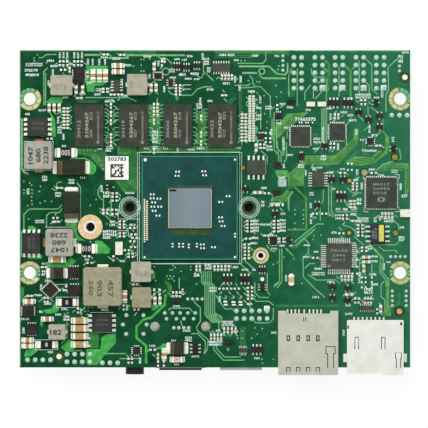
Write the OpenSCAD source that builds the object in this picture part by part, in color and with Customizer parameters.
// Embedded motherboard: a small computer board with soldered memory, two card
// sockets on the processor side, and its plugs and sockets on the underside.
// Places on the board are measured from its lower left corner, x to the right
// and y up, with the card slots along the lower edge. The origin of the part is
// the middle of the four corner holes, in the plane of the board's underside.

/* [Board] */
// Length of the board
board_w = 101.6; // [101.6:0.1:110]
// Depth of the board
board_d = 82.55; // [82.55:0.05:90]
// Thickness of the board
board_t = 1.6; // [1:0.1:2.4]
// Radius of a corner mounting hole
corner_hole_r = 1.6; // [1.3:0.05:1.8]
// Distance from the left and right edges to the corner holes
corner_hole_inset = 2.6; // [2.4:0.1:3.2]
// Distance from the lower edge to the lower corner holes
corner_hole_low = 24.6; // [24:0.1:25.2]
// Distance from the upper edge to the upper corner holes
corner_hole_high = 12.65; // [12:0.05:13.2]

/* [Processor] */
// Width of the processor's substrate
cpu_w = 25; // [22:0.5:26]
// Depth of the processor's substrate
cpu_d = 27; // [24:0.5:27.5]
// Thickness of the substrate
cpu_t = 0.9; // [0.6:0.1:1.4]
// Distance between neighbouring solder balls
ball_pitch = 0.8; // [0.65:0.05:1.27]
// Height of a solder ball once it has melted
ball_h = 0.35; // [0.2:0.05:0.5]
// Width of the bare die
die_w = 11.2; // [9:0.1:14]
// Depth of the bare die
die_d = 10.1; // [8:0.1:12]
// Thickness of the die
die_t = 0.8; // [0.4:0.05:1]

/* [Memory] */
// Width of a memory chip
memory_w = 7.5; // [6:0.5:9]
// Length of a memory chip
memory_d = 11; // [9:0.5:12]
// Thickness of a memory chip's body
memory_t = 0.8; // [0.6:0.05:1]
// Distance between neighbouring memory chips
memory_pitch = 11.53; // [11.2:0.01:11.6]

/* [Heatsink fixing] */
// Distance between the two heatsink holes
heatsink_span = 31.05; // [30.8:0.05:31.4]
// Radius of a heatsink hole in the board
heatsink_hole_r = 1.5; // [1.4:0.05:1.7]
// Radius of the thread in a heatsink nut
nut_thread_r = 1.25; // [0.9:0.05:1.35]
// Height of a heatsink nut below the board
nut_h = 3; // [2:0.1:3.6]
// Radius of a heatsink nut
nut_r = 2.7; // [2.4:0.1:2.9]

/* [Standoffs for plug-in cards] */
// Height of the short card's standoff below the board
short_standoff_h = 2.5; // [2:0.1:3]
// Radius of the thread in the short card's standoff
short_standoff_thread_r = 1.2; // [0.8:0.05:1.3]
// Height of the long card's two standoffs below the board
long_standoff_h = 3.3; // [2.8:0.1:3.8]
// Radius of the thread in the long card's standoffs
long_standoff_thread_r = 0.75; // [0.6:0.05:0.85]

/* [Power parts] */
// Height of the main choke
main_choke_h = 4; // [3:0.1:5]
// Side of the main choke
main_choke_w = 10; // [9:0.1:10]
// Height of the two core chokes
core_choke_h = 3; // [2.4:0.1:4]
// Height of the small chokes
small_choke_h = 2.4; // [1.6:0.1:3]
// Height of the polymer capacitors
polymer_h = 1.9; // [1.5:0.1:2.8]
// Height of a power transistor's body above its leads
transistor_h = 1.5; // [1.2:0.1:1.7]
// Height of the large ceramic capacitors
ceramic_h = 1.25; // [0.8:0.05:1.8]

/* [Chips] */
// Height of a flat chip without leads
flat_chip_h = 0.85; // [0.6:0.05:1]
// Height of a chip with leads
leaded_chip_h = 1.4; // [1:0.1:1.7]
// Thickness of the leads of a chip
lead_t = 0.15; // [0.1:0.01:0.2]
// Pitch of the four-sided chip's leads
quad_pitch = 0.5; // [0.4:0.01:0.5]
// Number of leads on each side of the four-sided chip
quad_count = 12; // [8:1:12]

/* [Sim card socket] */
// Width of the sim socket's shell
sim_w = 15.6; // [15.4:0.1:15.8]
// Depth of the sim socket's shell
sim_d = 16; // [15.6:0.1:16]
// Height of the sim socket
sim_h = 1.9; // [1.8:0.05:2.4]
// How far the sim socket reaches past the board's edge
sim_overhang = 1.9; // [1.2:0.1:2.4]
// Travel of the sim socket's slider
sim_travel = 2.4; // [1.5:0.1:2.4]

/* [Memory card socket] */
// Width of the memory card socket's shell
card_w = 14.7; // [14.5:0.1:14.8]
// Depth of the memory card socket's shell
card_d = 13.9; // [13.6:0.1:14]
// Height of the memory card socket
card_h = 1.5; // [1.4:0.05:1.9]
// How far the memory card socket reaches past the board's edge
card_overhang = 1.5; // [1:0.1:2]
// Travel of the memory card socket's slider
card_travel = 1.6; // [1:0.1:1.6]

/* [Shared card socket sizes] */
// Thickness of the shells' sheet metal
sheet_t = 0.2; // [0.15:0.01:0.25]
// Clearance round a slider
slider_gap = 0.1; // [0.06:0.01:0.14]

/* [Pin headers] */
// Pitch of the pin headers
header_pitch = 2; // [1.9:0.01:2]
// Height of a pin header's plastic body
header_h = 2; // [1.5:0.1:2.5]
// Length of a header pin below its plastic body
header_pin_l = 4; // [3:0.1:4.4]
// Thickness of a header pin
header_pin_w = 0.5; // [0.4:0.02:0.64]

/* [Wire sockets] */
// Pitch of the small wire sockets
wafer_pitch = 1.25; // [1.1:0.01:1.25]
// Height of a small wire socket below the board
wafer_h = 3.6; // [3:0.1:4.2]
// Wall of a small wire socket
wafer_wall = 0.45; // [0.3:0.05:0.6]

/* [Audio jack] */
// Radius of the audio jack's bore
jack_bore_r = 1.8; // [1.6:0.05:1.9]
// Radius of the round nose
jack_nose_r = 2.4; // [2.3:0.05:2.5]
// Height of the jack's body below the board
jack_h = 5; // [4.9:0.1:5.6]
// How far the nose reaches past the board's edge
jack_nose_l = 1.9; // [1:0.1:3]

/* [Host port] */
// Width of the host port's shell
host_w = 13.1; // [12.9:0.1:13.3]
// Height of the host port's shell
host_h = 5.7; // [5.5:0.1:5.9]
// Space between the board and the host port's shell
host_lift = 0.9; // [0.6:0.1:1.2]
// Depth of the host port's shell
host_d = 15; // [14.6:0.1:15.2]
// Thickness of the two ports' sheet metal
port_sheet_t = 0.3; // [0.2:0.02:0.4]

/* [Video port] */
// Width of the video port's shell
video_w = 10.9; // [10.6:0.1:11.2]
// Height of the video port's shell
video_h = 3.2; // [3:0.1:3.5]
// Depth of the video port's shell
video_d = 7.6; // [7:0.1:8]

/* [Sockets for plug-in cards] */
// Width of the short card's socket
short_socket_w = 21.9; // [21.6:0.1:22.4]
// Height of the short card's socket
short_socket_h = 4.2; // [3.8:0.1:4.6]
// Width of the long card's socket
long_socket_w = 30; // [29.8:0.1:30.2]
// Height of the long card's socket
long_socket_h = 5.2; // [4.8:0.1:5.6]

/* [Hidden] */
$fn = 32;

// Distances between the corner holes, and the point of the board that becomes the origin
corner_hole_span_x = board_w - 2 * corner_hole_inset;
corner_hole_span_y = board_d - corner_hole_low - corner_hole_high;
datum_x = corner_hole_inset + corner_hole_span_x / 2;
datum_y = corner_hole_low + corner_hole_span_y / 2;

// Middle of the processor and of the row of memory chips
cpu_x = 44.25;
cpu_y = 41.55;
memory_y = 62.9;
memory_first_x = 18.1;
// Heatsink holes: middle of the pair
heatsink_x = 44.18;
heatsink_y = 41.6;

// Main choke and core chokes: place, size, turn of the terminal axis
main_choke_place = [21.65, 21.1, 90];
core_choke_w = 7.1;
core_choke_d = 7.2;
core_choke_places = [[5.05, 55.1, 90], [10.45, 32.5, 0]];
// Small chokes: place, width, depth, turn of the terminal axis
small_choke_places = [
    [10.95, 73.35, 5.7, 5.2, 0], [30.6, 73.5, 5.3, 5.5, 0], [31.65, 24.9, 5.2, 5.3, 0],
    [31.75, 18.25, 5, 5.3, 0], [9.8, 9.3, 4.4, 4, 0]
];
choke_lift = 0.15;
// Terminals of a choke: width of the strip, and how far its foot reaches out
main_strip = [2.8, 0.7];
core_strip = [2.2, 0.7];
small_strip = [1, 0.45];

// Polymer capacitors: place, length, width, turn
polymer_places = [
    [13.4, 52, 7.4, 4, 0], [13.5, 42.3, 7, 4.2, 90], [9.7, 24.5, 3.4, 3, 0], [41, 5, 3.5, 3.6, 0]
];
polymer_foot = 0.85;
// Width of a capacitor's end, as a share of its body
polymer_end = 0.72;

// Power transistors: place, width, depth, turn
transistor_places = [[4.7, 62.6, 5.4, 5.1, 0], [3.1, 32.3, 5.4, 4.8, 90], [21.45, 11.6, 5.3, 4.7, 0]];
transistor_pitch = 1.27;

// Sense resistors: place, length, width, turn
sense_places = [
    [12.05, 55.85, 4.5, 2.4, 0], [17.4, 30.9, 4.3, 2.4, 0], [12.4, 16.95, 4.5, 1.8, 0], [7, 5.95, 4.6, 1.8, 0]
];
sense_h = 0.6;
// Large ceramic capacitors: place, length, width, turn
ceramic_places = [
    [15.6, 12.2, 3.2, 1.6, 0], [15.6, 10.2, 3.2, 1.6, 0], [15.6, 8.15, 3.2, 1.6, 0], [15.6, 6, 3.2, 1.6, 0],
    [9.75, 28.1, 3.2, 1.6, 0], [27.35, 18.4, 2, 1.25, 90], [19.1, 75.9, 2, 1.25, 90], [20.8, 75.9, 2, 1.25, 90],
    [22.35, 75.9, 2, 1.25, 90], [25.6, 78.5, 2, 1.25, 0], [25.6, 76.9, 2, 1.25, 0], [2.5, 17.2, 2, 1.25, 0],
    [7.2, 12.6, 2, 1.25, 0], [2.1, 7.15, 2, 1.25, 0], [2.1, 5.6, 2, 1.25, 0], [37.6, 3.4, 2, 1.25, 90],
    [41, 2.1, 2.6, 1.5, 0]
];
large_foot = 0.5;

// Chip capacitors of 1.6 by 0.8: place, turn
medium_places = [
    [7.7, 67.5, 90], [9, 67.5, 90], [10.3, 67.5, 90], [14.7, 72.2, 90], [16.4, 72.2, 90], [34.2, 72.7, 90],
    [35.5, 72.7, 90], [35, 78.2, 90], [35.2, 17.3, 90], [36.5, 17.3, 90], [61.5, 57.1, 90],
    [61.9, 45.5, 0], [85.7, 19, 0], [90.2, 28.7, 0], [90.2, 27.5, 0], [89.5, 25.7, 90], [93.9, 15.2, 90]
];
// Rows of small capacitors: first place, turn, number, step
capacitor_rows = [
    [52.65, 75.5, 90, 4, 0.85, 0], [50.7, 25.85, 90, 5, 0.93, 0], [83.8, 23.2, 90, 4, 0.87, 0],
    [94.3, 39.6, 90, 4, 0.87, 0], [12, 67.4, 0, 7, 0, -0.85], [58.3, 59, 0, 9, 0, 0.85],
    [60.35, 59, 0, 19, 0, 0.64], [53.2, 9.6, 90, 4, 1, 0], [49.8, 8, 90, 4, 0.87, 0]
];
// Rows of small resistors: first place, turn, number, step
resistor_rows = [
    [59.75, 38.1, 0, 4, 0, -0.9], [66.75, 38.1, 0, 4, 0, -0.9], [26.6, 38, 0, 3, 0, -0.8],
    [26.6, 34.9, 0, 2, 0, -0.8], [52.5, 20.5, 0, 3, 2, 0], [59.9, 20.7, 0, 4, 0, -0.95],
    [87.3, 17.4, 90, 2, 0.9, 0], [89.8, 17.4, 90, 3, 0.8, 0]
];
// Single small capacitors and resistors: place, turn
capacitor_singles = [
    [23.75, 68, 90], [23.75, 65.9, 90], [23.75, 63.8, 90], [23.75, 60.1, 90], [23.75, 58.2, 90],
    [34.95, 68, 90], [35.85, 68, 90], [34.95, 66.1, 90], [35.85, 66.1, 90], [34.95, 63.9, 90],
    [34.95, 56.3, 90], [47.2, 64.9, 90], [47.2, 60.6, 90], [47.2, 58.3, 90], [10.35, 46.7, 0],
    [12.2, 12.45, 0], [40.8, 19, 90], [36, 2.9, 90], [46, 25.8, 90], [46.9, 25.8, 90], [87.1, 38.1, 0],
    [86.6, 43.3, 0], [86.6, 42.5, 0], [86.6, 41.7, 0], [22.4, 81.4, 0], [26.7, 81.3, 0], [24.2, 71, 0],
    [26.1, 71, 0], [30.1, 21.55, 0], [13, 77.4, 90], [9.6, 37.9, 0], [6.4, 26.1, 0], [2.6, 18.6, 0],
    [53.2, 70.8, 0], [64.2, 34.3, 0], [63.1, 57.1, 0], [82, 65.3, 90], [82.9, 65.3, 90], [93.3, 57.7, 0]
];
resistor_singles = [
    [10.95, 20.1, 0], [12.1, 20.6, 90], [15.2, 14.8, 90], [6.5, 17.6, 90], [7.3, 17.6, 90],
    [27.05, 15.6, 90], [30.4, 15.1, 0], [35, 19.6, 90], [36.5, 19.6, 90], [39.9, 19, 90], [41.7, 19, 90],
    [28.3, 1.75, 90], [29.2, 1.75, 90], [34.6, 4.6, 0], [36, 1, 90], [37.5, 1, 90],
    [80.9, 57.7, 90], [81.8, 57.7, 90], [9.3, 38.9, 0], [17.5, 28.9, 0], [18.2, 27.2, 0],
    [24.4, 28.4, 90], [22.3, 41, 0], [22.3, 40, 0], [24.6, 41, 0], [24.7, 39.9, 0], [29.3, 36.3, 0],
    [29.6, 34.6, 0], [29.9, 33.7, 0], [29.3, 32.8, 0], [29.5, 31.3, 0], [28.9, 29.6, 0], [28.9, 28.8, 0],
    [27.9, 30.5, 0], [93, 14.6, 90], [59.4, 33.5, 0],
    [59.1, 28.4, 0], [59.1, 29.3, 0], [59.1, 30.2, 0], [59.1, 31.1, 0], [59.1, 32, 0], [68.1, 33.5, 0],
    [68.1, 32.7, 0], [84.6, 39.6, 0], [84.6, 38.7, 0], [88.6, 37, 0], [88.6, 36.1, 0], [88.6, 35.2, 0],
    [88.6, 34.3, 0], [89.6, 31.2, 0], [89.6, 30.3, 0], [76.9, 28.5, 0], [83.7, 34.9, 0], [63.1, 58, 0],
    [64.3, 45.3, 0], [84, 50.6, 0], [87.2, 47.9, 0], [87.2, 47.1, 0], [87.2, 46.3, 0], [92.1, 50.6, 0],
    [7.8, 59.5, 0], [24.7, 45.3, 0], [24.7, 44.4, 0], [24.7, 43.4, 0], [10.5, 79.1, 90], [11.4, 79.1, 90],
    [12.4, 79.1, 90], [14.2, 79.1, 90], [15.2, 79.1, 90], [16.1, 79.1, 90], [11.3, 77.4, 0],
    [17.7, 76.2, 90], [22.3, 72.5, 0], [22.3, 71.7, 0], [37, 79.1, 90], [41.2, 73.4, 0], [41.2, 72.6, 0],
    [41.2, 71.8, 0], [41.2, 71, 0], [67, 67.7, 90], [88.9, 69, 90], [89.9, 69, 90], [66.2, 42.2, 0],
    [67.9, 42.2, 0], [76.8, 40, 0], [79.2, 40, 0]
];

// Chips without leads: place, width, depth, turn
regulator_places = [
    [15.45, 75.8, 3, 3.8, 0], [14.2, 24.7, 3, 2.9, 0], [14.3, 20, 3, 3, 0], [2.2, 14.7, 3, 2.9, 0],
    [3.15, 9.95, 2.9, 2.9, 0], [8, 20.2, 3, 3, 45]
];
controller_places = [[94.1, 45.4, 8, 8, 0], [73, 60.1, 5, 5, 0], [82.6, 61.3, 4.1, 4.3, 0]];
quad_place = [83.05, 28.95];
quad_body = 6.7;
quad_span = 9.4;

// Firmware chip: place, width across the leads, depth
firmware_place = [93.1, 34.75, 3.9, 4.9, 0];
firmware_span = 6.2;
// Chips with two rows of leads: place, body width, depth, turn, leads a side, pitch, span
outline_places = [
    [61.5, 52, 3.9, 4.9, 90, 4, 1.27, 6.2], [77.6, 48.9, 3.1, 4.2, 0, 6, 0.65, 5],
    [52.45, 78, 2.2, 4.9, 90, 7, 0.65, 3.4], [25.3, 73.2, 1.75, 3.15, 0, 4, 0.75, 3],
    [90, 15.5, 1.2, 3.3, 90, 6, 0.55, 2.2], [58.1, 4.5, 1.1, 2.4, 90, 4, 0.55, 2.1]
];

// Small packages with three leads a side: place, turn
six_lead_places = [
    [54.1, 23, 90], [58.6, 23, 90], [61.7, 4.65, 90], [81.7, 68.8, 90], [85.4, 68.8, 90], [45.7, 4.95, 0],
    [83.6, 44.5, 90]
];
// Smaller packages with three leads a side: place, turn
small_six_lead_places = [
    [40.9, 78.3, 90], [43.4, 78.1, 90], [46.1, 78.5, 90], [39.3, 74.1, 0], [63.1, 20.9, 0], [63.1, 25.4, 90]
];
// Packages with two leads on one side and one on the other: place, turn
three_lead_places = [
    [88.1, 66.4, 0], [90.7, 64.5, 0], [93.6, 65.5, 0], [93.6, 62.5, 0], [79.2, 57.7, 180], [81.3, 21.1, 0],
    [81.3, 18.1, 0], [85.3, 20.6, 180], [85.3, 17.4, 180], [92.6, 68.9, 90], [97.2, 56.9, 90], [84, 48.9, 0],
    [81.1, 49, 0], [58.7, 46.4, 180], [23.6, 46.9, 90], [77.4, 42.3, 0], [69.9, 33.2, 90], [66.4, 40, 0]
];
// Small flat packages: place, width, depth
tiny_places = [
    [36, 75.8, 2, 1.6], [62.8, 60.1, 1.5, 1.6], [67.3, 65.4, 1.6, 1.8], [67, 52.7, 2, 1.4],
    [66.8, 45.5, 2.1, 1.2], [73.25, 54.8, 1.5, 1.9], [66, 33, 2, 2.2], [30.4, 4.4, 1.9, 2],
    [34.3, 2.3, 1.5, 0.8], [91.2, 58.8, 1.8, 1.8], [54.2, 6.7, 2.5, 0.9], [40.8, 17.2, 2.2, 0.8],
    [70.6, 69.1, 2, 1]
];
tiny_h = 0.6;

// Indicator lamps and other pale chips: place, width, depth
lamp_places = [[25.85, 31, 1.9, 3.4], [75.7, 68.5, 2.2, 1.2], [78.6, 68.5, 2.2, 1.2]];
// Pale chip that sits at the right edge: distance from that edge, place along it
edge_lamp_inset = 1.35;
edge_lamp_y = 40.15;

// Crystal and label
crystal_place = [70.65, 22.85];
crystal_w = 1.5;
crystal_d = 3.2;
crystal_h = 0.9;
label_place = [25.3, 51.9];
label_w = 6.1;
label_t = 0.1;

// Card sockets: left side of each shell
sim_x = 67.2;
card_x = 85.1;

// Pin headers of the underside: first pin, columns, rows
header_places = [
    [71.35, 72.62, 2, 5], [76.8, 72.62, 2, 5], [82.08, 72.62, 2, 5], [87.48, 72.62, 2, 5], [92.8, 72.62, 2, 5],
    [56.4, 12.7, 5, 2], [12.3, 1.45, 4, 2], [2.05, 1.95, 4, 1], [21.5, 1.2, 3, 1], [96.8, 65.6, 3, 1]
];
// Small wire sockets: middle of the pin row, turn
wafer_places = [
    [68.5, 79.15, 90], [98.8, 79, 90], [96.95, 17.95, 90], [100.55, 17.95, 90], [45.6, 17.8, 0], [98.4, 28.8, 0]
];
wafer_count = 4;
wafer_depth = 3.2;
wafer_row_inset = 0.9;

// Audio jack
jack_x = 29.85;
jack_w = 7;
jack_d = 14.6;
jack_pins = [[27.75, 13.6], [32.2, 13.6], [27.7, 8.7], [32.2, 8.7], [26.85, 11.15], [33.05, 11.15]];

// Host port and its pins
host_x = 41.8;
host_overhang = 0.3;
host_flare = 0.5;
host_tabs_y = 10.65;
host_pins = [
    [37.75, 14.15], [39.75, 14.15], [41.75, 14.15], [43.75, 14.15], [45.7, 14.15],
    [38.2, 12.65], [40.8, 12.65], [42.75, 12.65], [45.25, 12.65],
    [40.1, 10.3], [41.4, 10.3], [42.7, 10.3], [43.95, 10.3]
];
// Video port
video_x = 57.6;
video_overhang = 0.8;

// Sockets for plug-in cards: middle of each peg line
short_socket_x = 18.35;
short_socket_y = 76.3;
short_socket_pegs = 20;
short_standoff_y = 36.55;
long_socket_x = 50.5;
long_socket_y = 77.05;
long_socket_pegs = 25;
long_standoff_y = 29.1;
long_standoff_span = 24.5;
fit_gap = 0.05;

// Places, with the height that a piece stands at
module at(x, y, turn = 0) translate([x - datum_x, y - datum_y, 0]) rotate(turn) children();
module on_top(x, y, turn = 0) translate([x - datum_x, y - datum_y, board_t]) rotate(turn) children();
module below(x, y, turn = 0) translate([x - datum_x, y - datum_y, 0]) mirror([0, 0, 1]) rotate(turn) children();

// Box in the middle of its place, standing at height z
module block(w, d, h, z = 0) translate([-w / 2, -d / 2, z]) cube([w, d, h]);

// Side view of a moulded body: widest at its parting line
module moulded_section(w, h, draft) {
    edge = w / 2;
    polygon([
        [-edge + draft, 0], [edge - draft, 0], [edge, h / 2],
        [edge - draft, h], [-edge + draft, h], [-edge, h / 2]
    ]);
}

// Moulded body whose four sides lean in above and below the parting line
module moulded(w, d, h, draft, z = 0)
    translate([0, 0, z]) intersection() {
        rotate([90, 0, 0]) linear_extrude(d + 1, center = true) moulded_section(w, h, draft);
        rotate([90, 0, 90]) linear_extrude(w + 1, center = true) moulded_section(d, h, draft);
    }

// Gull-wing lead that leaves a body's side at x = 0 and ends on the board at x = reach
module gull_lead(reach, shoulder, width) {
    bend = reach * 0.4;
    rotate([90, 0, 0]) linear_extrude(width, center = true)
        polygon([
            [0, shoulder], [bend - lead_t, shoulder], [bend, 0], [reach, 0], [reach, lead_t],
            [bend + lead_t, lead_t], [bend, shoulder + lead_t], [0, shoulder + lead_t]
        ]);
}

// One row of leads on each of the two sides, left and right
module lead_rows(count, pitch, body_w, span, shoulder, width)
    for (side = [0, 180], i = [0 : count - 1])
        rotate(side) translate([body_w / 2, (i - (count - 1) / 2) * pitch, 0])
            gull_lead((span - body_w) / 2, shoulder, width);

// Metal end of a chip part: the cap, and the solder that runs out over its pad
module part_end(w, h, cap, foot)
    rotate([90, 0, 0]) linear_extrude(w, center = true)
        polygon([[-cap, 0], [foot, 0], [foot * 0.3, h * 0.5], [0, h], [-cap, h]]);
module part_ends(l, w, h, cap, foot)
    for (side = [0, 180])
        rotate(side) translate([l / 2, 0, 0]) part_end(w, h, cap, foot);

// Rows and single places of the small chip parts, one copy of the children at each
module at_rows(rows)
    for (row = rows, i = [0 : row[3] - 1])
        on_top(row[0] + i * row[4], row[1] + i * row[5], row[2]) children();
module at_places(places)
    for (place = places)
        on_top(place[0], place[1], place[2]) children();

// Bare board with every hole that goes through it
module circuit_board() color("seagreen") {
    difference() {
        translate([-datum_x, -datum_y, 0]) cube([board_w, board_d, board_t]);
        for (sx = [-1, 1], sy = [-1, 1])
            translate([sx * corner_hole_span_x / 2, sy * corner_hole_span_y / 2, -1])
                cylinder(h = board_t + 2, r = corner_hole_r);
        for (side = [-1, 1])
            at(heatsink_x + side * heatsink_span / 2, heatsink_y)
                translate([0, 0, -1]) cylinder(h = board_t + 2, r = heatsink_hole_r);
        at(drill_place[0], drill_place[1])
            translate([0, 0, -1]) cylinder(h = board_t + 2, r = drill_r, $fn = 24);
        at(short_socket_x, short_standoff_y)
            translate([0, 0, -1]) cylinder(h = board_t + 2, r = short_standoff_neck_r + fit_gap);
        at(long_socket_x + long_standoff_span / 2, long_standoff_y)
            translate([0, 0, -1]) cylinder(h = board_t + 2, r = long_standoff_neck_r + fit_gap);
        for (side = [-1, 1]) {
            at(short_socket_x + side * short_socket_pegs / 2, short_socket_y)
                translate([0, 0, -1]) cylinder(h = board_t + 2, r = peg_r + fit_gap);
            at(long_socket_x + side * long_socket_pegs / 2, long_socket_y)
                translate([0, 0, -1]) cylinder(h = board_t + 2, r = peg_r + fit_gap);
        }
    }
}
peg_r = 0.5;
drill_place = [54.2, 4.7];
drill_r = 0.45;
short_standoff_neck_r = 1.75;
long_standoff_neck_r = 1.2;

// Processor: substrate on its ring of balls, die in a fillet of underfill
module processor_substrate() color("darkslategray")
    on_top(cpu_x, cpu_y) block(cpu_w, cpu_d, cpu_t, ball_h);
module processor_die() color("lightslategray")
    on_top(cpu_x, cpu_y) block(die_w, die_d, die_t, ball_h + cpu_t);
underfill_w = 0.7;
underfill_h = die_t * 0.45;
module die_underfill() color("darkgreen")
    on_top(cpu_x, cpu_y) translate([0, 0, ball_h + cpu_t]) difference() {
        intersection() {
            rotate([90, 0, 0]) linear_extrude(die_d + 2 * underfill_w, center = true) underfill_section(die_w);
            rotate([90, 0, 90]) linear_extrude(die_w + 2 * underfill_w, center = true) underfill_section(die_d);
        }
        block(die_w, die_d, die_t + 1, -0.5);
    }
module underfill_section(size) {
    inner = size / 2;
    outer = inner + underfill_w;
    polygon([[-outer, 0], [outer, 0], [inner, underfill_h], [-inner, underfill_h]]);
}

// Outer ring of solder balls under a package of the given size
ball_r = 0.25;
module ball_ring(w, d) {
    columns = floor((w - 1) / ball_pitch);
    rows = floor((d - 1) / ball_pitch);
    for (i = [0 : columns], j = [0 : rows])
        if (i == 0 || i == columns || j == 0 || j == rows)
            translate([(i - columns / 2) * ball_pitch, (j - rows / 2) * ball_pitch, 0])
                cylinder(h = ball_h, r = ball_r, $fn = 16);
}
module solder_balls() color("silver") {
    on_top(cpu_x, cpu_y) ball_ring(cpu_w, cpu_d);
    for (i = [0 : 3]) on_top(memory_first_x + i * memory_pitch, memory_y) ball_ring(memory_w, memory_d);
}

// Memory chip on its balls, with the round pin mark of the corner pressed in
memory_mark = [2.3, -4.4];
module memory_chip(i) color("dimgray")
    on_top(memory_first_x + i * memory_pitch, memory_y) difference() {
        block(memory_w, memory_d, memory_t, ball_h);
        translate([memory_mark[0], memory_mark[1], ball_h + memory_t - 0.06])
            cylinder(h = 1, r = 0.45, $fn = 24);
    }
module memory_chip_1() memory_chip(0);
module memory_chip_2() memory_chip(1);
module memory_chip_3() memory_chip(2);
module memory_chip_4() memory_chip(3);

// Pressed choke body with cut corners and a chamfer round the top
module choke_body(w, d, h, corner, bevel) {
    top = h - choke_lift;
    translate([0, 0, choke_lift]) intersection() {
        linear_extrude(top) polygon([
            [-w / 2 + corner, -d / 2], [w / 2 - corner, -d / 2],
            [w / 2, -d / 2 + corner], [w / 2, d / 2 - corner],
            [w / 2 - corner, d / 2], [-w / 2 + corner, d / 2],
            [-w / 2, d / 2 - corner], [-w / 2, -d / 2 + corner]
        ]);
        rotate([90, 0, 0]) linear_extrude(d + 1, center = true) choke_section(w, top, bevel);
        rotate([90, 0, 90]) linear_extrude(w + 1, center = true) choke_section(d, top, bevel);
    }
}
module choke_section(w, h, bevel)
    polygon([
        [-w / 2, 0], [w / 2, 0], [w / 2, h - bevel],
        [w / 2 - bevel, h], [-w / 2 + bevel, h], [-w / 2, h - bevel]
    ]);

// Terminal of a choke: a strip down each end that folds out over its pad
module choke_terminal_pair(l, strip, h) {
    foot = strip[1];
    for (side = [0, 180])
        rotate(side) translate([l / 2, 0, 0]) rotate([90, 0, 0]) linear_extrude(strip[0], center = true)
            polygon([[0, 0], [foot, 0], [foot, 0.12], [foot / 2, 0.3], [0.2, 0.5], [0.2, h], [0, h]]);
}
module main_choke() color("darkkhaki")
    on_top(main_choke_place[0], main_choke_place[1], main_choke_place[2])
        choke_body(main_choke_w, main_choke_w, main_choke_h, 0.5, 0.25);
module core_choke(i) color("darkgray")
    on_top(core_choke_places[i][0], core_choke_places[i][1], core_choke_places[i][2])
        choke_body(core_choke_d, core_choke_w, core_choke_h, 0.5, 0.2);
module core_choke_1() core_choke(0);
module core_choke_2() core_choke(1);
module small_chokes() color("tan")
    for (p = small_choke_places) on_top(p[0], p[1], p[4]) choke_body(p[2], p[3], small_choke_h, 0.3, 0.15);
module choke_terminals() color("peru") {
    on_top(main_choke_place[0], main_choke_place[1], main_choke_place[2])
        choke_terminal_pair(main_choke_w, main_strip, main_choke_h * 0.6);
    for (p = core_choke_places)
        on_top(p[0], p[1], p[2]) choke_terminal_pair(core_choke_d, core_strip, core_choke_h * 0.6);
    for (p = small_choke_places)
        on_top(p[0], p[1], p[4]) choke_terminal_pair(p[2], small_strip, small_choke_h * 0.6);
}

// Polymer capacitors and their folded ends
module polymer_capacitors() color("dimgray")
    for (p = polymer_places) on_top(p[0], p[1], p[4]) moulded(p[2], p[3], polymer_h, 0.12);
module polymer_capacitor_ends() color("silver")
    for (p = polymer_places, side = [0, 180])
        on_top(p[0], p[1], p[4]) rotate(side) translate([p[2] / 2, 0, 0])
            rotate([90, 0, 0]) linear_extrude(p[3] * polymer_end, center = true)
                polygon([
                    [0, 0], [polymer_foot, 0], [0.35, 0.35], [0.15, polymer_h * 0.55], [0, polymer_h * 0.5]
                ]);

// Power transistors with four broad leads a side
module power_transistors() color("#3a3a3c")
    for (p = transistor_places) on_top(p[0], p[1], p[4]) moulded(p[2], p[3], transistor_h, 0.15, 0.1);
module power_transistor_leads() color("silver")
    for (p = transistor_places) on_top(p[0], p[1], p[4])
        lead_rows(4, transistor_pitch, p[2], p[2] + 1.8, transistor_h / 2, 0.7);

// Sense resistors and large ceramic capacitors
module sense_resistors() color("#222222")
    for (p = sense_places) on_top(p[0], p[1], p[4]) block(p[2] - 1.6, p[3], sense_h);
module large_ceramics() color("peru")
    for (p = ceramic_places) on_top(p[0], p[1], p[4]) block(p[2] - 1, p[3], ceramic_h);
module large_part_ends() color("silver") {
    for (p = sense_places) on_top(p[0], p[1], p[4]) part_ends(p[2], p[3], sense_h, 0.8, large_foot);
    for (p = ceramic_places) on_top(p[0], p[1], p[4]) part_ends(p[2], p[3], ceramic_h, 0.5, large_foot);
}

// Small chip parts: bodies, and all their metal ends
small_l = 1;
small_w = 0.5;
small_cap = 0.25;
small_foot = 0.2;
capacitor_h = 0.5;
resistor_h = 0.35;
medium_l = 1.6;
medium_w = 0.8;
medium_cap = 0.35;
medium_h = 0.8;
module small_capacitors() color("burlywood") {
    at_rows(capacitor_rows) block(small_l - 2 * small_cap, small_w, capacitor_h);
    at_places(capacitor_singles) block(small_l - 2 * small_cap, small_w, capacitor_h);
    at_places(medium_places) block(medium_l - 2 * medium_cap, medium_w, medium_h);
}
module small_resistors() color("#1c1c20") {
    at_rows(resistor_rows) block(small_l - 2 * small_cap, small_w, resistor_h);
    at_places(resistor_singles) block(small_l - 2 * small_cap, small_w, resistor_h);
}
module small_part_ends() color("silver") {
    at_rows(capacitor_rows) part_ends(small_l, small_w, capacitor_h, small_cap, small_foot);
    at_rows(resistor_rows) part_ends(small_l, small_w, resistor_h, small_cap, small_foot);
    at_places(capacitor_singles) part_ends(small_l, small_w, capacitor_h, small_cap, small_foot);
    at_places(resistor_singles) part_ends(small_l, small_w, resistor_h, small_cap, small_foot);
    at_places(medium_places) part_ends(medium_l, medium_w, medium_h, medium_cap, small_foot);
}

// Chips without leads
module regulator_chips() color("#2e2c2c")
    for (p = regulator_places) on_top(p[0], p[1], p[4]) block(p[2], p[3], flat_chip_h);
module controller_chips() color("#34342f")
    for (p = controller_places) on_top(p[0], p[1], p[4]) block(p[2], p[3], flat_chip_h);

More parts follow.
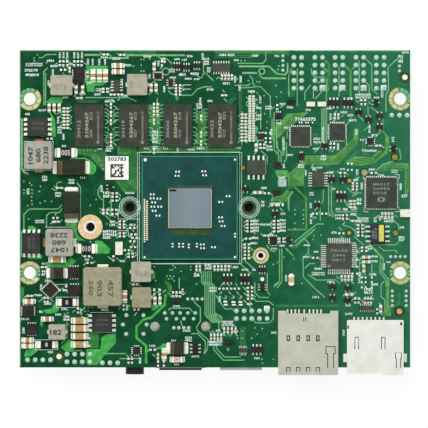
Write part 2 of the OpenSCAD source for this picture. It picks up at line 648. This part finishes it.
// Four-sided chip and its leads
module quad_flat_chip() color("#3c423e")
    on_top(quad_place[0], quad_place[1]) moulded(quad_body, quad_body, leaded_chip_h, 0.12, 0.1);
module quad_flat_leads() color("silver")
    on_top(quad_place[0], quad_place[1])
        for (turn = [0, 90]) rotate(turn)
            lead_rows(quad_count, quad_pitch, quad_body, quad_span, leaded_chip_h / 2, 0.22);

// Firmware chip and the other chips with two rows of leads
module firmware_chip() color("#33332f")
    on_top(firmware_place[0], firmware_place[1])
        moulded(firmware_place[2], firmware_place[3], leaded_chip_h, 0.12, 0.1);
module outline_chips() color("#2f2f30")
    for (p = outline_places) on_top(p[0], p[1], p[4]) moulded(p[2], p[3], leaded_chip_h * 0.75, 0.08, 0.1);
module outline_leads() color("silver") {
    on_top(firmware_place[0], firmware_place[1])
        lead_rows(4, 1.27, firmware_place[2], firmware_span, leaded_chip_h / 2, 0.42);
    for (p = outline_places) on_top(p[0], p[1], p[4])
        lead_rows(p[5], p[6], p[2], p[7], leaded_chip_h * 0.38, p[6] * 0.4);
}

// Small transistor packages: three leads a side, three leads in all, or flat with none
six_lead_w = 1.6;
six_lead_d = 2.8;
small_six_lead_w = 1.25;
small_six_lead_d = 2;
three_lead_w = 1.7;
three_lead_d = 1.2;
// Side that a lead leaves by, and its place along that side
three_leads = [[90, -0.5], [90, 0.5], [270, 0]];
module transistor_packages() color("#2a2a2c") {
    for (p = six_lead_places) on_top(p[0], p[1], p[2]) moulded(six_lead_w, six_lead_d, 1, 0.06, 0.05);
    for (p = small_six_lead_places)
        on_top(p[0], p[1], p[2]) moulded(small_six_lead_w, small_six_lead_d, 0.9, 0.05, 0.05);
    for (p = three_lead_places) on_top(p[0], p[1], p[2]) moulded(three_lead_w, three_lead_d, 0.8, 0.05, 0.05);
    for (p = tiny_places) on_top(p[0], p[1]) block(p[2], p[3], tiny_h);
}
module transistor_leads() color("silver") {
    for (p = six_lead_places) on_top(p[0], p[1], p[2]) lead_rows(3, 0.95, six_lead_w, 2.8, 0.5, 0.4);
    for (p = small_six_lead_places)
        on_top(p[0], p[1], p[2]) lead_rows(3, 0.65, small_six_lead_w, 2.2, 0.45, 0.28);
    for (p = three_lead_places) on_top(p[0], p[1], p[2])
        for (lead = three_leads)
            rotate(lead[0]) translate([three_lead_d / 2, lead[1], 0]) gull_lead(0.42, 0.4, 0.3);
}

// Crystal: round-ended can
module crystal_can() color("beige")
    on_top(crystal_place[0], crystal_place[1]) {
        block(crystal_w, crystal_d - crystal_w, crystal_h);
        for (side = [-1, 1])
            translate([0, side * (crystal_d - crystal_w) / 2, 0]) cylinder(h = crystal_h, d = crystal_w);
    }

module indicator_lamps() color("ivory") {
    for (p = lamp_places) on_top(p[0], p[1]) block(p[2], p[3], 0.8);
    on_top(board_w - edge_lamp_inset, edge_lamp_y) block(2.6, 2, 1);
}
module id_label() color("white")
    on_top(label_place[0], label_place[1]) block(label_w, label_w, label_t);

// Flat outline with round corners
module round_plate(w, d, r) {
    translate([r, 0]) square([w - 2 * r, d]);
    translate([0, r]) square([w, d - 2 * r]);
    for (x = [r, w - r], y = [r, d - r]) translate([x, y]) circle(r);
}
// Slit that frees a tongue on three sides: tongue w by d, its root at y = 0
module tongue_slit(w, d, slit) difference() {
    translate([-w / 2 - slit, 0]) square([w + 2 * slit, d + slit]);
    translate([-w / 2, -1]) square([w, d + 1]);
}
// Slit round a leaf spring with a broad head on a narrower stem, root at y = 0
module leaf_slit(stem_w, stem_d, head_w, head_d, slit) difference() {
    union() {
        translate([-stem_w / 2 - slit, 0]) square([stem_w + 2 * slit, stem_d]);
        translate([-head_w / 2 - slit, stem_d - slit]) square([head_w + 2 * slit, head_d + 2 * slit]);
    }
    translate([-stem_w / 2, -1]) square([stem_w, stem_d + 1.5]);
    translate([-head_w / 2, stem_d]) square([head_w, head_d]);
}

// Sim socket, in its own place: x from the shell's left side, y from the board's edge
floor_t = 0.45;
sim_windows = [2.65, 5.2, 7.8, 10.3];
sim_tails = [2.5, 3.5, 4.5, 5.45, 6.8, 8.2, 9.2, 10.2, 11.2];
// Where the two rows of sim contacts start, and how long a contact is
sim_contact_rows = [0.5, 7.9];
sim_contact_l = 2.8;
sim_back = sim_d - sim_overhang;
leaf_x = sim_w - 2;
module sim_place() on_top(sim_x, 0) children();
module sim_shell() color("#bebeac") sim_place() difference() {
    union() {
        translate([0, -sim_overhang, sim_h - sheet_t]) linear_extrude(sheet_t) round_plate(sim_w, sim_d, 0.3);
        for (x = [0, sim_w - sheet_t])
            translate([x, 0.4, 0]) cube([sheet_t, sim_back - 0.8, sim_h - sheet_t / 2]);
        for (x = [0, sim_w - 2.1]) translate([x, sim_back - 0.4, sim_h - sheet_t]) cube([2.1, 1.1, sheet_t]);
        for (x = [0, sim_w - 2.1]) translate([x, sim_back + 0.7 - sheet_t, 0]) cube([2.1, sheet_t, sim_h]);
    }
    for (x = sim_windows) {
        translate([x - 0.45, 6.95, 0.5]) cube([0.9, 1.5, sim_h]);
        translate([x, -1.1, 0.5]) linear_extrude(sim_h) tongue_slit(0.7, 1.1, 0.2);
    }
    translate([leaf_x, -0.1, 0.5]) linear_extrude(sim_h) leaf_slit(1.3, 3.9, 2.2, 1.6, 0.2);
}

// Plastic frame of a push socket: floor, left rail, back wall, and the slider's channel
channel_w = 2.6;
module socket_base(w, d, overhang, h, rail_w, back_w) {
    back = d - overhang;
    inner = h - sheet_t;
    translate([sheet_t, -overhang + 0.3, 0]) cube([w - 2 * sheet_t, d - 0.5, floor_t]);
    translate([sheet_t, -overhang + 0.3, 0]) cube([rail_w, d - 0.5, inner]);
    translate([sheet_t, back - 0.2 - back_w, 0]) cube([w - 2 * sheet_t, back_w, inner]);
    translate([w - sheet_t - 0.4, -overhang + 0.3, 0]) cube([0.4, d - 0.5, inner]);
}
sim_rail_w = 0.5;
sim_back_w = 0.8;
module sim_base() color("#20201e") sim_place() difference() {
    socket_base(sim_w, sim_d, sim_overhang, sim_h, sim_rail_w, sim_back_w);
    for (x = sim_windows, y = sim_contact_rows)
        translate([x - 0.5, y - 0.1, -1]) cube([1, sim_contact_l + 0.6, 1 + floor_t + 0.1]);
}

// Spring contact: an arm that rises from the socket's floor to a round bump, along Y
module spring_contact(h, l, width)
    rotate([90, 0, 90]) linear_extrude(width, center = true)
        polygon([[0, 0.05], [0, 0.25], [l * 0.7, h - 0.15], [l * 0.8, h], [l * 0.9, h - 0.15], [l, h - 0.5],
            [l * 0.9, h - 0.4], [l * 0.8, h - 0.2], [0.35, 0.05]]);
module sim_contacts() color("gold") sim_place() {
    for (x = sim_windows, y = sim_contact_rows)
        translate([x, y, 0]) spring_contact(sim_h - sheet_t - 0.2, sim_contact_l, 0.6);
    for (x = sim_tails) translate([x - 0.2, sim_back - 0.2, 0]) cube([0.4, 1.2, 0.15]);
}

// Slider that the card pushes in: a bar in its channel, an arm across the card's corner,
// and a groove along the top for the locking pin
module push_slider(bar_w, bar_l, arm_l, arm_d, h) difference() {
    union() {
        cube([bar_w, bar_l, h]);
        translate([0, bar_l - arm_d, 0]) mirror([1, 0, 0])
            linear_extrude(h)
                polygon([[0, -arm_l / 2], [0, arm_d], [arm_l, arm_d], [arm_l, 0], [arm_l / 2, 0]]);
    }
    translate([bar_w * 0.3, 0.8, h - 0.25]) cube([bar_w * 0.3, bar_l - 1.6, 1]);
}
slider_bar_w = 1.8;
sim_slider_l = 7;
sim_slider_front = sim_back - 0.2 - sim_back_w - slider_gap - sim_travel - sim_slider_l;
module sim_slider() color("#3a3a38") sim_place()
    translate([sim_w - sheet_t - 0.4 - slider_gap - slider_bar_w, sim_slider_front, floor_t + slider_gap / 2])
        push_slider(slider_bar_w, sim_slider_l, 1.6, 1, sim_h - sheet_t - floor_t - slider_gap);

// Memory card socket, built the same way and lower
card_back = card_d - card_overhang;
card_rail_w = 0.5;
card_back_w = 0.7;
card_tails = [1.9, 3, 4.1, 5.2, 6.3, 7.4, 8.5, 9.6];
// Where the card's contacts start, and how long one is
card_contact_y = 5.8;
card_contact_l = 3.2;
card_leaf_x = card_w - 1.35;
module card_place() on_top(card_x, 0) children();
module card_shell() color("#e4e6de") card_place() difference() {
    union() {
        translate([0, -card_overhang, card_h - sheet_t])
            linear_extrude(sheet_t) round_plate(card_w, card_d, 0.3);
        translate([card_w * 0.62, -card_overhang - 0.4, card_h - sheet_t]) cube([card_w * 0.37, 1, sheet_t]);
        for (x = [0, card_w - sheet_t])
            translate([x, 0.4, 0]) cube([sheet_t, card_back - 1, card_h - sheet_t / 2]);
        for (x = [-0.9, card_w - sheet_t]) translate([x, 1.4, 0]) cube([0.9 + sheet_t, 2.2, sheet_t]);
    }
    for (x = [2.5, 9.4]) translate([x, 4.8, 0.5]) linear_extrude(card_h) tongue_slit(0.7, 3, 0.22);
    translate([card_leaf_x, -0.1, 0.5]) linear_extrude(card_h) leaf_slit(0.9, 2.6, 1.3, 1.3, 0.2);
    translate([card_w - 0.9, card_back - 1.4, 0.5]) cube([0.5, 0.8, card_h]);
    translate([0.1, card_back - 2.3, 0.5]) cube([0.4, 0.8, card_h]);
}
module card_base() color("#1c1c1c") card_place() difference() {
    socket_base(card_w, card_d, card_overhang, card_h, card_rail_w, card_back_w);
    for (x = card_tails)
        translate([x - 0.35, card_contact_y - 0.2, -1]) cube([0.7, card_contact_l + 0.8, 1 + floor_t + 0.1]);
}
module card_contacts() color("gold") card_place() {
    for (x = card_tails)
        translate([x, card_contact_y, 0]) spring_contact(card_h - sheet_t - 0.15, card_contact_l, 0.45);
    for (x = card_tails) translate([x - 0.2, card_back - 0.2, 0]) cube([0.4, 0.9, 0.15]);
}
card_slider_l = 6;
card_slider_bar_w = 1.4;
card_slider_x = card_w - sheet_t - 0.4 - slider_gap - card_slider_bar_w;
card_slider_front = card_back - 0.2 - card_back_w - slider_gap - card_travel - card_slider_l;
module card_slider() color("#e8e8e4") card_place()
    translate([card_slider_x, card_slider_front, floor_t + slider_gap / 2])
        push_slider(card_slider_bar_w, card_slider_l, 0.9, 0.8, card_h - sheet_t - floor_t - slider_gap);

// Threaded standoffs of the plug-in cards, soldered to the underside and drilled right through
module threaded_post(r, h, neck_r, neck_h, thread_r) difference() {
    union() {
        translate([0, 0, -h]) cylinder(h = h, r = r);
        cylinder(h = neck_h, r = neck_r);
    }
    translate([0, 0, -h - 1]) cylinder(h = h + neck_h + 2, r = thread_r);
}
module card_standoffs() color("gainsboro") {
    at(short_socket_x, short_standoff_y)
        threaded_post(2.75, short_standoff_h, short_standoff_neck_r, board_t, short_standoff_thread_r);
    at(long_socket_x + long_standoff_span / 2, long_standoff_y)
        threaded_post(2, long_standoff_h, long_standoff_neck_r, board_t, long_standoff_thread_r);
    at(long_socket_x - long_standoff_span / 2, long_standoff_y) difference() {
        translate([0, 0, -long_standoff_h]) cylinder(h = long_standoff_h, r = 2);
        translate([0, 0, -long_standoff_h - 1]) cylinder(h = long_standoff_h + 0.5, r = long_standoff_thread_r);
    }
}
// Heatsink nuts, closed at the bottom
module heatsink_nuts() color("#6a6458")
    for (side = [-1, 1]) at(heatsink_x + side * heatsink_span / 2, heatsink_y) difference() {
        translate([0, 0, -nut_h]) cylinder(h = nut_h, r = nut_r);
        translate([0, 0, -nut_h + 0.5]) cylinder(h = nut_h + 1, r = nut_thread_r);
    }

// Pin header in its plastic body, with a waist between neighbouring pins
module header_body(columns, rows) {
    w = columns * header_pitch - 0.4;
    d = rows * header_pitch - 0.4;
    middle_x = (columns - 1) * header_pitch / 2;
    middle_y = (rows - 1) * header_pitch / 2;
    translate([middle_x, middle_y, 0]) difference() {
        block(w, d, header_h);
        for (i = [0 : columns - 1], j = [0 : rows - 1])
            translate([i * header_pitch - middle_x, j * header_pitch - middle_y, header_h / 2])
                block(header_pin_w, header_pin_w, header_h);
        for (side = [0, 90], flip = [-1, 1], k = [1 : 1 : (side == 0 ? columns : rows) - 1])
            rotate(side) {
                count = side == 0 ? columns : rows;
                half = side == 0 ? d / 2 : w / 2;
                translate([(k - count / 2) * header_pitch, flip * half, -1])
                    rotate(45) block(0.5, 0.5, header_h + 2);
            }
    }
}
module header_bodies() color("#1b1b1d")
    for (p = header_places) below(p[0], p[1]) header_body(p[2], p[3]);
module header_pins() color("gold")
    for (p = header_places, i = [0 : p[2] - 1], j = [0 : p[3] - 1])
        below(p[0] + i * header_pitch, p[1] + j * header_pitch)
            block(header_pin_w, header_pin_w, header_h / 2 + header_pin_l, header_h / 2);

// Small wire socket: an open-topped box with its pins standing in it
wafer_w = (wafer_count - 1) * wafer_pitch + 2.6;
wafer_floor = 1;
wafer_pin_w = 0.4;
module wafer_body() difference() {
    translate([-wafer_w / 2, -wafer_row_inset, 0]) cube([wafer_w, wafer_depth, wafer_h]);
    translate([-wafer_w / 2 + wafer_wall, -wafer_row_inset + wafer_wall, wafer_floor])
        cube([wafer_w - 2 * wafer_wall, wafer_depth - 2 * wafer_wall, wafer_h]);
    for (side = [-1, 1])
        translate([side * wafer_w / 3.2 - 0.3, -wafer_row_inset - 1, wafer_floor])
            cube([0.6, 1 + wafer_wall + 0.05, wafer_h]);
}
module wafer_bodies() color("antiquewhite")
    for (p = wafer_places) below(p[0], p[1], p[2]) wafer_body();
module wafer_pins() color("silver")
    for (p = wafer_places, i = [0 : wafer_count - 1])
        below(p[0], p[1], p[2]) translate([(i - (wafer_count - 1) / 2) * wafer_pitch, 0, wafer_floor])
            translate([0, 0.4, 0]) block(wafer_pin_w, wafer_pin_w, wafer_h - wafer_floor - 0.4);

// Audio jack: body under the board, round nose past its edge, one bore through both
jack_axis_z = -jack_h / 2;
module audio_jack() color("#1a1a1c") difference() {
    union() {
        below(jack_x - jack_w / 2, 0) cube([jack_w, jack_d, jack_h]);
        at(jack_x, 0) translate([0, 0.5, jack_axis_z]) rotate([90, 0, 0])
            cylinder(h = jack_nose_l + 0.5, r = jack_nose_r);
    }
    at(jack_x, 0) translate([0, jack_d - 1.6, jack_axis_z]) rotate([90, 0, 0])
        cylinder(h = jack_d + jack_nose_l + 1, r = jack_bore_r);
    for (side = [-1, 1])
        below(jack_x + side * jack_w / 2, jack_d * 0.62) block(1, 3.4, jack_h * 0.5, jack_h * 0.5);
}

// Host port: folded shell with a flared mouth and two board tabs
module host_port_shell() color("silver") {
    below(host_x, -host_overhang) {
        difference() {
            translate([-host_w / 2, 0, host_lift]) cube([host_w, host_d, host_h]);
            translate([-host_w / 2 + port_sheet_t, -1, host_lift + port_sheet_t])
                cube([host_w - 2 * port_sheet_t, host_d + 2, host_h - 2 * port_sheet_t]);
            for (side = [-1, 1]) translate([side * host_w / 4, 4, host_lift]) {
                translate([0, 0, host_h / 2]) linear_extrude(host_h) tongue_slit(1.8, 5, 0.3);
            }
        }
        for (side = [-1, 1]) translate([side * (host_w / 2 - port_sheet_t / 2), host_tabs_y + host_overhang, 0])
            block(port_sheet_t, 2.2, host_lift + 1);
        // Lips that flare out from the mouth
        for (flip = [0, 1]) translate([0, 0, host_lift + host_h / 2]) mirror([0, 0, flip]) {
            translate([0, 0, host_h / 2]) rotate([90, 0, 90])
                linear_extrude(host_w - 2, center = true)
                    polygon([
                        [0, 0], [-host_flare, host_flare * 0.8],
                        [-host_flare, host_flare * 0.8 - port_sheet_t], [0, -port_sheet_t]
                    ]);
        }
    }
}
// Moulded block at the back of the host port, with the tongue that carries the contacts
host_tongue_w = 11.1;
host_tongue_t = 1.84;
host_block_d = 4.6;
// Middles of the broad contacts behind and of the narrow ones in front
host_broad_contacts = [-3.5, -1, 1, 3.5];
host_narrow_contacts = [-4, -2, 0, 2, 4];
host_contact_t = 0.12;
module host_port_tongue() color("royalblue") below(host_x, -host_overhang) {
    inner_w = host_w - 2 * port_sheet_t;
    inner_h = host_h - 2 * port_sheet_t;
    translate([-inner_w / 2, host_d - host_block_d, host_lift + port_sheet_t])
        cube([inner_w, host_block_d, inner_h]);
    translate([-host_tongue_w / 2, 1.6, host_lift + port_sheet_t + 0.95])
        cube([host_tongue_w, host_d - host_block_d - 1.5, host_tongue_t]);
    translate([-inner_w / 2 + 0.4, host_d + 0.02 - host_block_d, 0])
        cube([inner_w - 0.8, host_block_d - 1, host_lift]);
}
module host_port_contacts() color("gold") below(host_x, -host_overhang) {
    face = host_lift + port_sheet_t + 0.95 + host_tongue_t;
    for (x = host_broad_contacts)
        translate([x - 0.5, 2.6, face]) cube([1, host_d - host_block_d - 2.8, host_contact_t]);
    for (x = host_narrow_contacts) translate([x - 0.3, 1.9, face]) cube([0.6, 0.45, host_contact_t]);
}

// Video port: shell with its two lower corners cut, and a thin tongue
module video_outline(inset) {
    w = video_w - 2 * inset;
    h = video_h - 2 * inset;
    polygon([
        [-w / 2, 0], [w / 2, 0], [w / 2, h * 0.6],
        [w / 2 - h * 0.4, h], [-w / 2 + h * 0.4, h], [-w / 2, h * 0.6]
    ]);
}
module video_port_shell() color("gainsboro") below(video_x, -video_overhang)
    difference() {
        mirror([0, 1, 0]) rotate([90, 0, 0]) linear_extrude(video_d) video_outline(0);
        translate([0, -1, port_sheet_t]) mirror([0, 1, 0]) rotate([90, 0, 0])
            linear_extrude(video_d + 0.4) video_outline(port_sheet_t);
        for (side = [-1, 1]) translate([side * video_w / 4, 2, video_h / 2])
            linear_extrude(video_h) tongue_slit(1.1, 2.6, 0.25);
    }
video_tongue_t = 0.6;
module video_port_tongue() color("#1d1d1f") below(video_x, -video_overhang) {
    translate([0, video_d - 2.4, port_sheet_t]) mirror([0, 1, 0]) rotate([90, 0, 0])
        linear_extrude(1.8) video_outline(port_sheet_t);
    translate([-4, 1, video_h / 2 - video_tongue_t / 2 + 0.1]) cube([8, video_d - 3.3, video_tongue_t]);
}

// Sockets of the plug-in cards: a moulded bar with a slot along its front
module edge_socket(w, h, front, back, slot_w, slot_z, slot_t, pegs, key_x) {
    difference() {
        union() {
            translate([-w / 2, -front, 0]) cube([w, front + back, h]);
            for (side = [-1, 1])
                translate([side * pegs / 2, 0, -board_t]) cylinder(h = board_t + 0.5, r = peg_r);
        }
        translate([-slot_w / 2, -front - 1, slot_z]) cube([slot_w, front + 1 + back * 0.5, slot_t]);
        translate([-slot_w / 2 + 0.6, -front - 1, slot_z + slot_t / 2]) cube([slot_w - 1.2, 2.2, h]);
        for (x = [-w / 2, w / 2]) translate([x, back, 0]) block(2.4, 2.4, 2 * h, -1);
    }
    // Rib that keys the card
    translate([key_x - 0.6, 0.8 - front, slot_z - 0.2]) cube([1.2, front + back * 0.5, slot_t + 0.4]);
}
short_socket_front = 2.6;
short_socket_back = 4.6;
long_socket_front = 3;
long_socket_back = 3.6;
// Slots: width, height of the slot, place of the key
short_slot = [20, 1, 6];
long_slot = [27, 1.2, -6.5];
module storage_socket() color("#232325") below(short_socket_x, short_socket_y)
    edge_socket(short_socket_w, short_socket_h, short_socket_front, short_socket_back, short_slot[0],
        short_standoff_h - 0.1, short_slot[1], short_socket_pegs, short_slot[2]);
module expansion_socket() color("#2a2826") below(long_socket_x, long_socket_y)
    edge_socket(long_socket_w, long_socket_h, long_socket_front, long_socket_back, long_slot[0],
        long_standoff_h - 0.1, long_slot[1], long_socket_pegs, long_slot[2]);

// Solder tails of the two sockets: a row behind and a row in front of each
module tail_row(count, pitch, y, l)
    for (i = [0 : count - 1]) translate([(i - (count - 1) / 2) * pitch, y, 0]) block(pitch * 0.45, l, 0.18);
module socket_contacts() color("gold") {
    below(short_socket_x, short_socket_y) {
        tail_row(34, 0.5, short_socket_back + 0.5, 1);
        tail_row(33, 0.5, -short_socket_front - 0.5, 1);
    }
    below(long_socket_x, long_socket_y) {
        tail_row(26, 0.8, long_socket_back + 0.6, 1.2);
        tail_row(26, 0.8, -long_socket_front - 0.6, 1.2);
    }
}

// Solder joint of a pin: a cone of solder with the pin's end standing in it
module solder_joint(r) {
    cylinder(h = 0.45, r1 = r, r2 = r * 0.5, $fn = 24);
    translate([0, 0, 0.45]) cylinder(h = 0.2, r = r * 0.5, $fn = 24);
}
pin_joint_r = 0.72;
module solder_joints() color("silver") {
    for (p = header_places, i = [0 : p[2] - 1], j = [0 : p[3] - 1])
        on_top(p[0] + i * header_pitch, p[1] + j * header_pitch) solder_joint(pin_joint_r);
    for (p = wafer_places, i = [0 : wafer_count - 1])
        on_top(p[0], p[1], p[2]) translate([(i - (wafer_count - 1) / 2) * wafer_pitch, 0, 0]) solder_joint(0.5);
    for (p = jack_pins) on_top(p[0], p[1]) solder_joint(0.62);
    for (p = host_pins) on_top(p[0], p[1]) solder_joint(0.55);
    for (side = [-1, 1]) on_top(host_x + side * (host_w / 2 + 0.05), host_tabs_y) solder_joint(1.2);
}

circuit_board();
processor_substrate();
solder_balls();
processor_die();
die_underfill();
memory_chip_1();
memory_chip_2();
memory_chip_3();
memory_chip_4();
main_choke();
core_choke_1();
core_choke_2();
small_chokes();
choke_terminals();
polymer_capacitors();
polymer_capacitor_ends();
power_transistors();
power_transistor_leads();
sense_resistors();
large_ceramics();
large_part_ends();
small_capacitors();
small_resistors();
small_part_ends();
regulator_chips();
controller_chips();
quad_flat_chip();
quad_flat_leads();
firmware_chip();
outline_chips();
outline_leads();
transistor_packages();
transistor_leads();
crystal_can();
indicator_lamps();
id_label();
sim_shell();
sim_base();
sim_contacts();
sim_slider();
card_shell();
card_base();
card_contacts();
card_slider();
card_standoffs();
heatsink_nuts();
header_bodies();
header_pins();
wafer_bodies();
wafer_pins();
audio_jack();
host_port_shell();
host_port_tongue();
host_port_contacts();
video_port_shell();
video_port_tongue();
storage_socket();
expansion_socket();
socket_contacts();
solder_joints();
